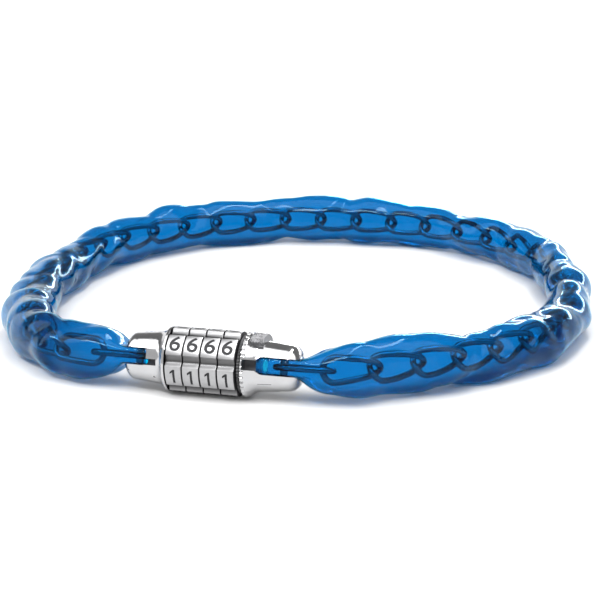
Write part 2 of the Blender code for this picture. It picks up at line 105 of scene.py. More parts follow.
# The lock's own measures, as its parts have them
DIAL_POSITIONS = 6
GROOVE_ANGLE = math.radians(15)  # middle of one finger groove, up from the front
GROOVE_HALF = math.radians(10)
GROOVE_DEPTH = 0.0014
DIAL_BORE = 0.0085
SHADED_SIDE_FACING = 0.8  # faces that look this much along the barrel are a dial's sides, which get painted shade, dark as the gaps between the dials
SIDE_SHAVE = 0.00008  # how much a dial's sides stand back, so that a dark line parts the dials
SLOT_TILT = math.radians(18)
SLOT_HALF = 0.0032
LEFT_SLOT_DEPTH, RIGHT_SLOT_DEPTH = 0.0104, 0.0161
LEFT_SLOT_CORNER = 0.0016
LEFT_NOTCH, RIGHT_NOTCH = (-0.0030, -0.0007), (-0.0019, 0.0019)  # across the slot's plane
NOTCH_LENGTH, NOTCH_FLOOR = 0.0040, 0.0066
CORNER_CUT = 0.0010  # how far a notch runs back into its slot
CUTTER_REACH = 0.0150  # far enough from the axis to cut right through a cap
CORE_RADIUS = 0.0056
SCREW_RADIUS, SCREW_HEAD_RADIUS, SCREW_HEAD = 0.00125, 0.0024, 0.0010
PAD_ANGLES = (math.radians(64), math.radians(150))
PAD_START, PAD_END, PAD_RADIUS, PAD_FLOOR = 0.0145, 0.0204, 0.0113, 0.0080
PAD_GRID, PAD_CUTS, PAD_CUT_DEPTH = (36, 110), (5, 15), 0.0005
PAD_GRAIN, PAD_ROUGHNESS = 2200.0, 0.0004
PIN_RADIUS, PIN_PLAY, PIN_DOME, PIN_SIDES = 0.0015, 0.00005, 0.0005, 32
RIDGES, RIDGE_DEPTH, RING_BORE = 60, 0.0003, 0.0076  # the dark washer's
WIRE = 0.0024
LINK_LENGTH, LINK_WIDTH = 0.0236, 0.0118
CLEARANCE = 0.0003
PIN_REACH = 0.0087  # from a riveted pin's middle to its ends
NUMERAL_SHARE = 0.70  # a numeral's height as a share of the font's size
NUMERAL_WEIGHT = 0.00016
NUMERAL_STRIPS = 7
ENGRAVING_REACH = 0.0005  # how far the engraving's cutter stands out of the dial
INFILL_SEAT, INFILL_RISE = 0.0002, 0.0001  # the black infill below and above the engraving's floor
DIAL_STEPS, CAP_STEPS, RIDGE_STEPS, TICK_STEPS = 240, 128, 6, 8
NUMERAL_WIDENING = 1.12
FLAGGED_ONE = (
    (0.12, -0.50),
    (0.12, 0.50),
    (0.00, 0.50),
    (-0.20, 0.34),
    (-0.20, 0.19),
    (-0.03, 0.31),
    (-0.03, -0.50),
)

# The chain's middle line, from the left anchor pin round the back to the right one
ROUTE = (
    (-0.0280, 0.000, 0.0120),
    (-0.0400, 0.000, 0.0120),
    (-0.0540, 0.002, 0.0118),
    (-0.0670, 0.008, 0.0115),
    (-0.0790, 0.020, 0.0112),
    (-0.0880, 0.037, 0.0110),
    (-0.0960, 0.060, 0.0110),
    (-0.1010, 0.086, 0.0110),
    (-0.1030, 0.112, 0.0110),
    (-0.1010, 0.138, 0.0110),
    (-0.0940, 0.163, 0.0110),
    (-0.0800, 0.184, 0.0110),
    (-0.0620, 0.203, 0.0110),
    (-0.0390, 0.217, 0.0110),
    (-0.0130, 0.225, 0.0110),
    (0.0140, 0.228, 0.0110),
    (0.0400, 0.225, 0.0110),
    (0.0620, 0.216, 0.0110),
    (0.0810, 0.202, 0.0110),
    (0.0970, 0.183, 0.0110),
    (0.1080, 0.160, 0.0110),
    (0.1150, 0.134, 0.0110),
    (0.1180, 0.106, 0.0110),
    (0.1160, 0.079, 0.0110),
    (0.1080, 0.057, 0.0110),
    (0.0960, 0.039, 0.0112),
    (0.0810, 0.024, 0.0115),
    (0.0660, 0.012, 0.0118),
    (0.0520, 0.003, 0.0120),
    (0.0400, 0.000, 0.0120),
    (0.0270, 0.000, 0.0120),
)
SPLINE_STEPS = 12
LOOP_DEPTH = 0.228  # how far back the chain's loop reaches

# The film's grid and the scale it is simulated at
FILM_SIDES = 32
FILM_RINGS = 360
SIM_SCALE = 10.0  # the cloth is simulated this much larger, where its tolerances suit it
SIM_FRAMES = 34
FILM_INSET = 0.0006  # from a slot's bottom to the film's end
SLOT_PACK = (0.0078, 0.0029)  # half depth and half height of the film packed into a slot
PLEAT_DEPTH = 0.0006
TWIST_SPACING, CREASE_SPACING = 24.0, 38.0  # per metre
CREASE_SLOPE = 1.7  # how steeply a panel rises from its creases
FILM_SPREADS = (0.012, 0.018)  # how far the left and the right end take to open out
RUFFLE_SPACING, RUFFLE_HEIGHT = 60.0, 0.0022  # unevenness that the film starts to buckle from
CHORD = 0.0030  # how far each way the film's direction is taken
FILM_FLOOR = 0.0003  # the film's lowest height

# How the flattened sleeve leans at each of the route's points, in degrees from standing on edge
LEANS = (
    0, 0, 5, 0, 15, 50, 80, 90, 75, 45,
    15, 0, -10, 0, 15, 20, 5, 70, 20, 10,
    30, 70, 90, 85, 50, 20, -25, 0, 0, 0,
    0,
)


# How bright the studio is round the barrel: (share of the half circle from the front horizon,
# over the top, to the back one, tone)
STUDIO_BRIGHTNESS = 2.6
STUDIO_TONES = (
    (0.00, 0.75),
    (0.15, 0.70),
    (0.30, 0.75),
    (0.34, 2.60),
    (0.56, 2.60),
    (0.60, 0.22),
    (0.86, 0.28),
    (0.92, 1.30),
    (1.00, 1.30),
)


# The strip lights that shine on the film's folds: (name, place, size, power)
STRIP_LIGHTS = (
    ("front_strip", (-0.3, -0.6, 0.9), (1.2, 0.10), 8.0),
    ("top_strip", (0.2, 0.1, 1.1), (1.4, 0.12), 8.0),
    ("back_strip", (0.3, 1.3, 0.35), (1.2, 0.10), 5.0),
)


# ---------------------------------------------------------------- settings


class ChainLockSleeveSettings(bpy.types.PropertyGroup):
    film_thickness: bpy.props.FloatProperty(
        name="Film thickness", description="Thickness of the vinyl film", default=0.0004, unit="LENGTH"
    )
    girth: bpy.props.FloatProperty(
        name="Girth", description="Length of film once round the sleeve", default=0.045, unit="LENGTH"
    )
    slack: bpy.props.FloatProperty(
        name="Slack", description="How much longer the film is than the chain, as a share",
        default=0.045, subtype="FACTOR",
    )
    twist: bpy.props.FloatProperty(
        name="Twist", description="How far the film is twisted to and fro, which folds it across",
        default=1.5, subtype="ANGLE",
    )
    crease: bpy.props.FloatProperty(
        name="Crease height", description="Height of the sharp creases that the film keeps",
        default=0.0023, unit="LENGTH",
    )
    half_height: bpy.props.FloatProperty(
        name="Half height", description="Half the sleeve's height before it settles",
        default=0.0092, unit="LENGTH",
    )
    half_depth: bpy.props.FloatProperty(
        name="Half depth", description="Half the sleeve's depth before it settles",
        default=0.0074, unit="LENGTH",
    )
    colour: bpy.props.FloatVectorProperty(
        name="Film colour", description="What one wall of the film lets through",
        default=(0.002, 0.38, 0.66), subtype="COLOR", size=3,
    )


class ChainLockBarrelSettings(bpy.types.PropertyGroup):
    numeral_height: bpy.props.FloatProperty(
        name="Numeral height", description="Height of the numerals on the dials",
        default=0.0058, unit="LENGTH",
    )
    numeral_depth: bpy.props.FloatProperty(
        name="Numeral depth", description="Depth of the engraving", default=0.0003, unit="LENGTH"
    )
    rim_ticks: bpy.props.IntProperty(
        name="Rim ticks", description="Number of grooves round the plug's rim", default=36
    )
    tick_depth: bpy.props.FloatProperty(
        name="Tick depth", description="Depth of the grooves round the plug's rim",
        default=0.0005, unit="LENGTH",
    )
    edge: bpy.props.FloatProperty(
        name="Edge rounding", description="Width of the rounding on cast edges",
        default=0.00022, unit="LENGTH",
    )
    chrome: bpy.props.FloatVectorProperty(
        name="Chrome", description="Colour of the plated caps",
        default=(0.54, 0.54, 0.55), subtype="COLOR", size=3,
    )
    satin: bpy.props.FloatVectorProperty(
        name="Dial metal", description="Colour of the satin dials",
        default=(0.47, 0.47, 0.48), subtype="COLOR", size=3,
    )


class ChainLockStageSettings(bpy.types.PropertyGroup):
    camera_place: bpy.props.FloatVectorProperty(
        name="Camera place", description="Where the camera stands",
        default=(0.1804, -0.5764, 0.2146), subtype="XYZ", unit="LENGTH", size=3,
    )
    camera_aim: bpy.props.FloatVectorProperty(
        name="Camera aim", description="The point that the camera looks at",
        default=(-0.0004, 0.1299, -0.0019), subtype="XYZ", unit="LENGTH", size=3,
    )
    lens: bpy.props.FloatProperty(
        name="Lens", description="Focal length on a 36 mm sensor, in millimetres", default=104.2
    )
    floor_colour: bpy.props.FloatVectorProperty(
        name="Floor colour", description="Colour of the plain floor",
        default=(0.66, 0.66, 0.66), subtype="COLOR", size=3,
    )


# ---------------------------------------------------------------- shader helpers


class Value:
    """A node's output that takes part in sums: each operator adds a Math node."""

    def __init__(self, shader, socket):
        self.shader = shader
        self.socket = socket

    def math(self, operation, *operands):
        return self.shader.node("ShaderNodeMath", {"operation": operation}, *operands)

    def __add__(self, other):
        return self.math("ADD", self, other)

    def __sub__(self, other):
        return self.math("SUBTRACT", self, other)

    def __mul__(self, other):
        return self.math("MULTIPLY", self, other)

    def __truediv__(self, other):
        return self.math("DIVIDE", self, other)

    def __rsub__(self, other):
        return self.math("SUBTRACT", other, self)

    __radd__ = __add__
    __rmul__ = __mul__

    def power(self, exponent):
        return self.math("POWER", self, exponent)

    def clamped(self):
        """Kept between 0 and 1."""
        return self.shader.node("ShaderNodeClamp", {}, self)


class Shader:
    """The nodes of one material or world, added one by one round its main shader."""

    def __init__(self, owner, main="Principled BSDF"):
        owner.use_nodes = True
        self.owner = owner
        self.tree = owner.node_tree
        self.surface = self.tree.nodes[main]

    def node(self, kind, settings, *sockets, output=0, **named):
        """Adds a node: its settings first, then its sockets by place or by name."""
        made = self.tree.nodes.new(kind)
        for name, value in settings.items():
            setattr(made, name, value)
        for key, value in [*enumerate(sockets), *named.items()]:
            self.feed(made.inputs[key], value)
        return Value(self, made.outputs[output])

    def feed(self, socket, value):
        if isinstance(value, Value):
            self.tree.links.new(value.socket, socket)
        elif value is not None:
            socket.default_value = value

    def ramp(self, factor, stops):
        """A colour ramp with the given (place, colour) stops."""
        made = self.tree.nodes.new("ShaderNodeValToRGB")
        elements = made.color_ramp.elements
        while len(elements) < len(stops):
            elements.new(1.0)
        for element, (place, colour) in zip(elements, stops):
            element.position = place
            element.color = (*colour, 1.0)
        self.feed(made.inputs["Fac"], factor)
        return Value(self, made.outputs["Color"])

    def place(self, scale=(1, 1, 1), location=(0, 0, 0)):
        """Object coordinates, moved and stretched."""
        made = self.node("ShaderNodeTexCoord", {}, output="Object")
        return self.node(
            "ShaderNodeMapping", {}, Vector=made, Location=location, Scale=scale
        )

    def parts(self, vector):
        """The three coordinates of a vector."""
        made = self.tree.nodes.new("ShaderNodeSeparateXYZ")
        self.feed(made.inputs["Vector"], vector)
        return [Value(self, output) for output in made.outputs]

    def noise(self, scale, detail, roughness, stretch=(1, 1, 1)):
        return self.node(
            "ShaderNodeTexNoise",
            {},
            Vector=self.place(scale=stretch),
            Scale=scale,
            Detail=detail,
            Roughness=roughness,
        )

    def mix(self, factor, first, second):
        """Two colours mixed."""
        made = self.tree.nodes.new("ShaderNodeMix")
        made.data_type = "RGBA"
        self.feed(made.inputs[0], factor)
        for place, colour in ((6, first), (7, second)):
            self.feed(made.inputs[place], colour if isinstance(colour, Value) else (*colour, 1.0))
        return Value(self, made.outputs[2])

    def bump(self, height, strength, distance):
        return self.node("ShaderNodeBump", {}, Strength=strength, Distance=distance, Height=height)

    def set(self, **named):
        """Sets the main shader's sockets, an underscore standing for a space, and returns the owner."""
        for name, value in named.items():
            self.feed(self.surface.inputs[name.replace("_", " ")], value)
        return self.owner


def grey(colour, scale):
    """The colour at a share of its brightness."""
    return tuple(channel * scale for channel in colour)


# ---------------------------------------------------------------- materials


def chrome_material(colour):
    """Mirror plating on a slightly wavy casting, with faint smudges."""
    shader = Shader(bpy.data.materials.new("polished_chrome"))
    smudge = shader.noise(180.0, 4.0, 0.6)
    waves = shader.noise(260.0, 2.0, 0.4)
    pits = shader.noise(2400.0, 2.0, 0.5)
    return shader.set(
        Base_Color=shader.mix(smudge, colour, grey(colour, 0.86)),
        Metallic=1.0,
        Roughness=smudge * 0.12 + 0.05,
        Normal=shader.bump(waves + pits * 0.04, 0.35, 0.0004),
    )


def satin_material(colour):
    """Satin plating with fine lines round the barrel and worn speckles; painted shade darkens the finger
    grooves.
    """
    shader = Shader(bpy.data.materials.new("satin_zinc"))
    _, depth, height = shader.parts(shader.place(location=(0, 0, -AXIS_Z)))
    radius = (depth * depth + height * height).power(0.5)
    # Painted shade: the deeper a point lies below the dial's round, the nearer its colour goes to 0.22 of its
    # brightness, as though shade fell in the grooves.
    groove_shade_mask = ((DIAL_RADIUS - radius) / GROOVE_DEPTH).clamped().power(0.4)
    lines = shader.noise(120.0, 3.0, 0.6, stretch=(60.0, 1.0, 1.0))
    speckle = shader.noise(900.0, 3.0, 0.7)
    cloud = shader.noise(150.0, 3.0, 0.6)
    return shader.set(
        Base_Color=shader.mix(
            groove_shade_mask,
            shader.mix(cloud * speckle * 1.6, colour, grey(colour, 0.72)),
            grey(colour, 0.22),
        ),
        Metallic=1.0,
        Roughness=cloud * 0.16 + 0.24,
        Normal=shader.bump(lines * 0.6 + speckle * 0.4, 0.25, 0.0001),
    )


def steel_material(name, colour, roughness):
    """Zinc-plated steel: a soft crystalline mottling over drawn wire."""
    shader = Shader(bpy.data.materials.new(name))
    spangle = shader.node(
        "ShaderNodeTexVoronoi", {}, Vector=shader.place(), Scale=900.0, output="Distance"
    )
    cloud = shader.noise(220.0, 4.0, 0.6)
    return shader.set(
        Base_Color=shader.mix(cloud * 0.8 + spangle * 0.2, colour, grey(colour, 0.7)),
        Metallic=1.0,
        Roughness=cloud * 0.2 + roughness,
        Normal=shader.bump(cloud + spangle * 0.3, 0.2, 0.0002),
    )


def brass_material():
    """Turned brass with faint tool lines and a little tarnish."""
    shader = Shader(bpy.data.materials.new("turned_brass"))
    lines = shader.noise(150.0, 2.0, 0.5, stretch=(40.0, 1.0, 1.0))
    tarnish = shader.noise(260.0, 4.0, 0.6)
    return shader.set(
        Base_Color=shader.mix(tarnish, (0.74, 0.56, 0.26), (0.50, 0.35, 0.13)),
        Metallic=1.0,
        Roughness=tarnish * 0.2 + 0.2,
        Normal=shader.bump(lines, 0.2, 0.0001),
    )


def dark_material(name, colour, roughness, metallic=0.0):
    """Nearly black, with dusty wear: black oxide and paint, and also the painted shade on the dials' sides and
    the notches' floors.
    """
    shader = Shader(bpy.data.materials.new(name))
    dust = shader.noise(500.0, 4.0, 0.65)
    return shader.set(
        Base_Color=shader.mix(dust.power(3.0), colour, grey(colour, 3.0)),
        Metallic=metallic,
        Roughness=dust * 0.3 + roughness,
        Normal=shader.bump(dust, 0.2, 0.0001),
    )


def film_material(colour):
    """Clear glossy vinyl film: it tints what is seen through it and shines on its folds."""
    shader = Shader(bpy.data.materials.new("blue_vinyl_film"))
    cloud = shader.noise(70.0, 4.0, 0.6)
    dimples = shader.noise(420.0, 3.0, 0.5)
    return shader.set(
        Base_Color=shader.mix(cloud * 0.5, colour, grey(colour, 0.8)),
        Roughness=cloud * 0.04 + 0.01,
        Normal=shader.bump(dimples, 0.15, 0.0003),
        Transmission_Weight=1.0,
        IOR=1.22,
    )


def floor_material(colour):
    shader = Shader(bpy.data.materials.new("studio_floor"))
    tone = shader.noise(3.0, 2.0, 0.5)
    return shader.set(
        Base_Color=shader.mix(tone, colour, grey(colour, 0.99)),
        Roughness=0.7,
    )


# ---------------------------------------------------------------- shape helpers


def polar(x, radius, angle):
    """A point at angle round the barrel's axis, up from the front, counted from the axis."""
    return Vector((x, -radius * math.cos(angle), radius * math.sin(angle)))


def tilted(x, along, across):
    """A point by how far it is along and across the slots' plane, counted from the axis."""
    return polar(x, along, SLOT_TILT) + polar(0.0, across, SLOT_TILT + math.pi / 2)


def raise_to_axis(bm):
    bmesh.ops.translate(bm, verts=bm.verts, vec=(0, 0, AXIS_Z))
    return bm


def add_object(name, data):
    made = bpy.data.objects.new(name, data)
    bpy.context.collection.objects.link(made)
    return made


def mesh_of(name, bm):
    """The bmesh as a mesh, and the bmesh freed."""
    mesh = bpy.data.meshes.new(name)
    bm.to_mesh(mesh)
    bm.free()
    return mesh


def joined(parts):
    """One bmesh that holds all those given."""
    whole = bmesh.new()
    for part in parts:
        mesh = mesh_of("part", part)
        whole.from_mesh(mesh)
        bpy.data.meshes.remove(mesh)
    return whole


def make_piece(name, bm, material, sharp=35.0):
    """The mesh becomes a piece of its own at the origin, shaded smooth but for its sharp edges."""
    bmesh.ops.remove_doubles(bm, verts=bm.verts, dist=1e-7)
    bmesh.ops.recalc_face_normals(bm, faces=bm.faces)
    mesh = mesh_of(name, bm)
    mesh.shade_smooth()
    mesh.set_sharp_from_angle(angle=math.radians(sharp))
    if material:
        mesh.materials.append(material)
    return add_object(name, mesh)


def applied(piece, sharp=35.0):
    """Makes what the modifiers give the piece's own mesh."""
    graph = bpy.context.evaluated_depsgraph_get()
    mesh = bpy.data.meshes.new_from_object(piece.evaluated_get(graph))
    piece.modifiers.clear()
    piece.data = mesh
    mesh.shade_smooth()
    mesh.set_sharp_from_angle(angle=math.radians(sharp))
    return piece


def cut(piece, cutters):
    """Cuts the pieces given away from this one and removes them."""
    for cutter in cutters:
        cutter.data.materials.clear()
        cutter.data.materials.append(piece.data.materials[0])
        modifier = piece.modifiers.new(cutter.name, "BOOLEAN")
        modifier.object = cutter
        modifier.solver = "MANIFOLD"
        modifier.operation = "DIFFERENCE"
    applied(piece)
    for cutter in cutters:
        bpy.data.objects.remove(cutter, do_unlink=True)


def soften_edges(piece, width, segments=2, angle=32.0):
    """Rounds every edge sharper than the angle."""
    bevel = piece.modifiers.new("edges", "BEVEL")
    bevel.width = width
    bevel.segments = segments
    bevel.limit_method = "ANGLE"
    bevel.angle_limit = math.radians(angle)
    bevel.use_clamp_overlap = True
    applied(piece, sharp=45.0)


def lofted(rings, closed=False, capped=False):
    """A skin over rings of points, each ring a circle whose points are moved into place."""
    bm = bmesh.new()
    loops = []
    for points in rings:
        loop = bmesh.ops.create_circle(bm, segments=len(points), radius=1.0)["verts"]
        for vert, point in zip(loop, points):
            vert.co = point
        loops.append(loop)
    following_loops = loops[1:] + loops[:1] if closed else loops[1:]
    for loop, following in zip(loops, following_loops):
        for k in range(len(loop)):
            bm.faces.new((loop[k], loop[k - 1], following[k - 1], following[k]))
    if capped:
        bmesh.ops.holes_fill(bm, edges=[e for e in bm.edges if e.is_boundary], sides=0)
    return bm


def ringed(sections, steps):
    """A ring round the barrel's axis: each section is (x, radius as a function of the angle)."""
    angles = [math.tau * i / steps for i in range(steps)]
    rings = [[polar(x, radius(angle), angle) for angle in angles] for x, radius in sections]
    return raise_to_axis(lofted(rings, closed=True))


def turned(profile, closed, steps):
    """A profile of (x, radius) points turned round the barrel's axis."""
    bm = bmesh.new()
    verts = [bm.verts.new(polar(x, radius, 0.0)) for x, radius in profile]
    pairs = list(zip(verts, verts[1:]))
    if closed:
        pairs.append((verts[-1], verts[0]))
    edges = [bm.edges.new(pair) for pair in pairs]
    bmesh.ops.spin(
        bm,
        geom=verts + edges,
        cent=(0, 0, 0),
        axis=(1, 0, 0),
        dvec=(0, 0, 0),
        angle=math.tau,
        steps=steps,
        use_merge=True,
        use_duplicate=False,
    )
    return raise_to_axis(bm)


def prism(points, shift):
    """An outline swept straight by shift."""
    bm = bmesh.new()
    face = bm.faces.new([bm.verts.new(point) for point in points])
    swept = bmesh.ops.extrude_face_region(bm, geom=[face])
    verts = [v for v in swept["geom"] if isinstance(v, bmesh.types.BMVert)]
    bmesh.ops.translate(bm, verts=verts, vec=shift)
    return bm


def rod(start, end, radius, sides, dome=0.0):
    """A round bar between two points counted from the axis, with rounded end edges."""
    bm = bmesh.new()
    bmesh.ops.create_cone(
        bm, cap_ends=True, segments=sides, radius1=radius, radius2=radius, depth=(end - start).length
    )
    if dome:
        rims = [e for e in bm.edges if any(len(f.verts) > 4 for f in e.link_faces)]
        bmesh.ops.bevel(
            bm, geom=rims, offset=dome, segments=3, profile=0.5, affect="EDGES", material=-1
        )
    turn = (end - start).to_track_quat("Z", "Y").to_matrix().to_4x4()
    bmesh.ops.transform(bm, matrix=Matrix.Translation((start + end) / 2) @ turn, verts=bm.verts)
    return raise_to_axis(bm)


def smooth_line(points, steps):
    """A smooth curve through the points (Catmull-Rom), with that many steps between each two."""
    points = [Vector(point) for point in points]
    padded = [2 * points[0] - points[1], *points, 2 * points[-1] - points[-2]]
    line = []
    for a, b, c, d in zip(padded, padded[1:], padded[2:], padded[3:]):
        for step in range(steps):
            t = step / steps
            line.append(
                0.5 * (2 * b + (c - a) * t + (2 * a - 5 * b + 4 * c - d) * t**2)
                + 0.5 * (3 * b - a - 3 * c + d) * t**3
            )
    return line + [points[-1]]


class Route:
    """The chain's line, read by the distance along it."""

    def __init__(self, points):
        self.line = smooth_line(points, SPLINE_STEPS)
        self.along = [0.0]
        for a, b in zip(self.line, self.line[1:]):
            self.along.append(self.along[-1] + (b - a).length)
        self.length = self.along[-1]

    def at(self, distance):
        """The point that far along; past either end the line runs straight on."""
        starts = range(len(self.line) - 1)
        i = max((k for k in starts if self.along[k] <= distance), default=0)
        share = (distance - self.along[i]) / (self.along[i + 1] - self.along[i])
        return self.line[i].lerp(self.line[i + 1], share)

    def frame(self, distance, reach):
        """(middle, forward, side, up) of the chord that reaches this far each way."""
        back, ahead = self.at(distance - reach), self.at(distance + reach)
        forward = (ahead - back).normalized()
        side = Vector((0, 0, 1)).cross(forward).normalized()
        return (back + ahead) / 2, forward, side, forward.cross(side)


ROUTE_LINE = Route(ROUTE)


# ---------------------------------------------------------------- chain


def link_line(half_length, half_width, arc_steps, side_steps):
    """(x, y) points round a long loop with round ends."""
    bend = half_length - half_width
    half = [(bend + half_width * math.cos(a), half_width * math.sin(a))
            for a in (math.pi * i / arc_steps - math.pi / 2 for i in range(arc_steps + 1))]
    half += [(bend * (1 - 2 * i / side_steps), half_width) for i in range(1, side_steps)]
    return half + [(-x, -y) for x, y in half]


def link_mesh(middle, forward, side, up, twist, sides, arc_steps, side_steps):
    """A twisted oval link of round wire, with the swelling of its weld on one side."""
    half_length, half_width = (LINK_LENGTH - WIRE) / 2, (LINK_WIDTH - WIRE) / 2
    centres = []
    for x, y in link_line(half_length, half_width, arc_steps, side_steps):
        angle = twist[0] + (twist[1] - twist[0]) * (x + half_length) / (2 * half_length)
        across = side * math.cos(angle) + up * math.sin(angle)
        swell = 1 + 0.10 * math.exp(-((x / 0.0011) ** 2)) * (y > 0)
        centres.append((middle + forward * x + across * y, forward.cross(across), swell))
    rings = []
    for i, (centre, normal, swell) in enumerate(centres):
        along = (centres[(i + 1) % len(centres)][0] - centres[i - 1][0]).normalized()
        outward = along.cross(normal).normalized()
        normal = outward.cross(along)
        rings.append([
            centre + (outward * math.cos(a) + normal * math.sin(a)) * WIRE / 2 * swell
            for a in (math.tau * k / sides for k in range(sides))
        ])
    return lofted(rings, closed=True)


def link_twists():
    """The planes of each link's two ends; the end links lie flat in the caps' slots."""
    twists = [(math.pi / 4, 3 * math.pi / 4)] * LINK_COUNT
    twists[0] = twists[-1] = (SLOT_TILT, SLOT_TILT)
    twists[1] = (SLOT_TILT + math.pi / 2, 3 * math.pi / 4)
    twists[-2] = (math.pi / 4, SLOT_TILT + math.pi / 2)
    return twists


def link_meshes(sides, arc_steps, side_steps):
    """Every link's mesh where it lies on the route."""
    first = LINK_LENGTH / 2 - WIRE - PIN_RADIUS - CLEARANCE
    step = (ROUTE_LINE.length - 2 * first) / (LINK_COUNT - 1)
    for number, twist in enumerate(link_twists()):
        place = ROUTE_LINE.frame(first + step * number, LINK_LENGTH / 2 - WIRE)
        yield link_mesh(*place, twist, sides, arc_steps, side_steps)


def body_of_node(node):
    """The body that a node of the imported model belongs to."""
    bodies = frame["record"]["behaviour"]["bodies"]
    return next(body for body, nodes in bodies.items() if node in nodes)


class CHAINLOCK_OT_chain(bpy.types.Operator):
    """Build the twisted links of the chain"""

    bl_idname = "chain_lock.chain"
    bl_label = "Chain"

    def execute(self, context):
        material = steel_material("zinc_plated_wire", (0.34, 0.36, 0.38), 0.10)
        for number, bm in enumerate(link_meshes(12, 12, 12), 1):
            link = make_piece(f"twisted_link_{number:02d}", bm, material)
            node = f"chain_link_{number:02d}"
            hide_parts(node)
            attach(link, body_of_node(node))
        return {"FINISHED"}


# ---------------------------------------------------------------- sleeve


def eased_share(value):
    """Rises from 0 to 1, fast at first."""
    return 1 - (1 - min(max(value, 0.0), 1.0)) ** 2


def gathered_point(k):
    """(depth, height) of the film's k-th point in a slot: a flat pack, pleated at its two ends."""
    side, step = divmod(k, FILM_SIDES // 4)
    share = 2 * (step + 0.5) / (FILM_SIDES // 4) - 1
    pleat = PLEAT_DEPTH if k % 2 else 0.0
    depth, height = SLOT_PACK
    corners = (
        (depth - pleat, height * share),
        (-depth * share, height - pleat / 3),
        (pleat - depth, -height * share),
        (depth * share, pleat / 3 - height),
    )
    return corners[side]


def open_point(k, settings):
    """(depth, height) of the film's k-th point where the sleeve is open."""
    angle = math.tau * ((k + 0.5) / FILM_SIDES - 1 / 8)
    return settings.half_depth * math.cos(angle), settings.half_height * math.sin(angle)


def lean_at(distance):
    """How the flattened sleeve leans that far along the route."""
    ends = [ROUTE_LINE.along[i * SPLINE_STEPS] for i in range(len(ROUTE))]
    i = max((k for k in range(len(ends) - 1) if ends[k] <= distance), default=0)
    share = min(max((distance - ends[i]) / (ends[i + 1] - ends[i]), 0.0), 1.0)
    share = share * share * (3 - 2 * share)
    return math.radians(LEANS[i] + (LEANS[i + 1] - LEANS[i]) * share)


def film_distances():
    """How far along the route the film's rings are."""
    start = LEFT_PIN_X - (LEFT_CAP_X[0] + LEFT_SLOT_DEPTH) + FILM_INSET
    end = ROUTE_LINE.length + RIGHT_PIN_X - (RIGHT_CAP_X[1] - RIGHT_SLOT_DEPTH) - FILM_INSET
    return [start + (end - start) * i / (FILM_RINGS - 1) for i in range(FILM_RINGS)]


def film_ring(distance, settings):
    """(points, how far it is open) of the film's ring there, before the film settles."""
    past_left = distance - (LEFT_PIN_X - LEFT_CAP_X[0])
    past_right = ROUTE_LINE.length - (RIGHT_CAP_X[1] - RIGHT_PIN_X) - distance
    opened = min(eased_share(past_left / FILM_SPREADS[0]), eased_share(past_right / FILM_SPREADS[1]))
    middle, _, side, up = ROUTE_LINE.frame(distance, CHORD)
    lean = SLOT_TILT * (1 - opened) + lean_at(distance) * opened
    flat_side = side * math.cos(lean) + up * math.sin(lean)
    flat_up = up * math.cos(lean) - side * math.sin(lean)
    points = []
    for k in range(FILM_SIDES):
        packed, spread = gathered_point(k), open_point(k, settings)
        depth = packed[0] + (spread[0] - packed[0]) * opened
        height = packed[1] + (spread[1] - packed[1]) * opened
        point = middle + flat_side * depth + flat_up * height
        ruffle = noise.noise(point * RUFFLE_SPACING) * RUFFLE_HEIGHT * opened
        points.append(point + (point - middle).normalized() * ruffle)
    return points, opened


def chain_collider():
    """The whole chain as one coarse mesh that the film lies on."""
    bm = joined(link_meshes(6, 6, 4))
    bmesh.ops.scale(bm, vec=(SIM_SCALE,) * 3, verts=bm.verts)
    return add_object("chain_collider", mesh_of("chain_collider", bm))


def ground_collider():
    """The ground under the sleeve."""
    bm = bmesh.new()
    bmesh.ops.create_grid(bm, x_segments=1, y_segments=1, size=4.0)
    bmesh.ops.translate(bm, verts=bm.verts, vec=(0, 1, FILM_FLOOR * SIM_SCALE))
    return add_object("ground_collider", mesh_of("ground_collider", bm))


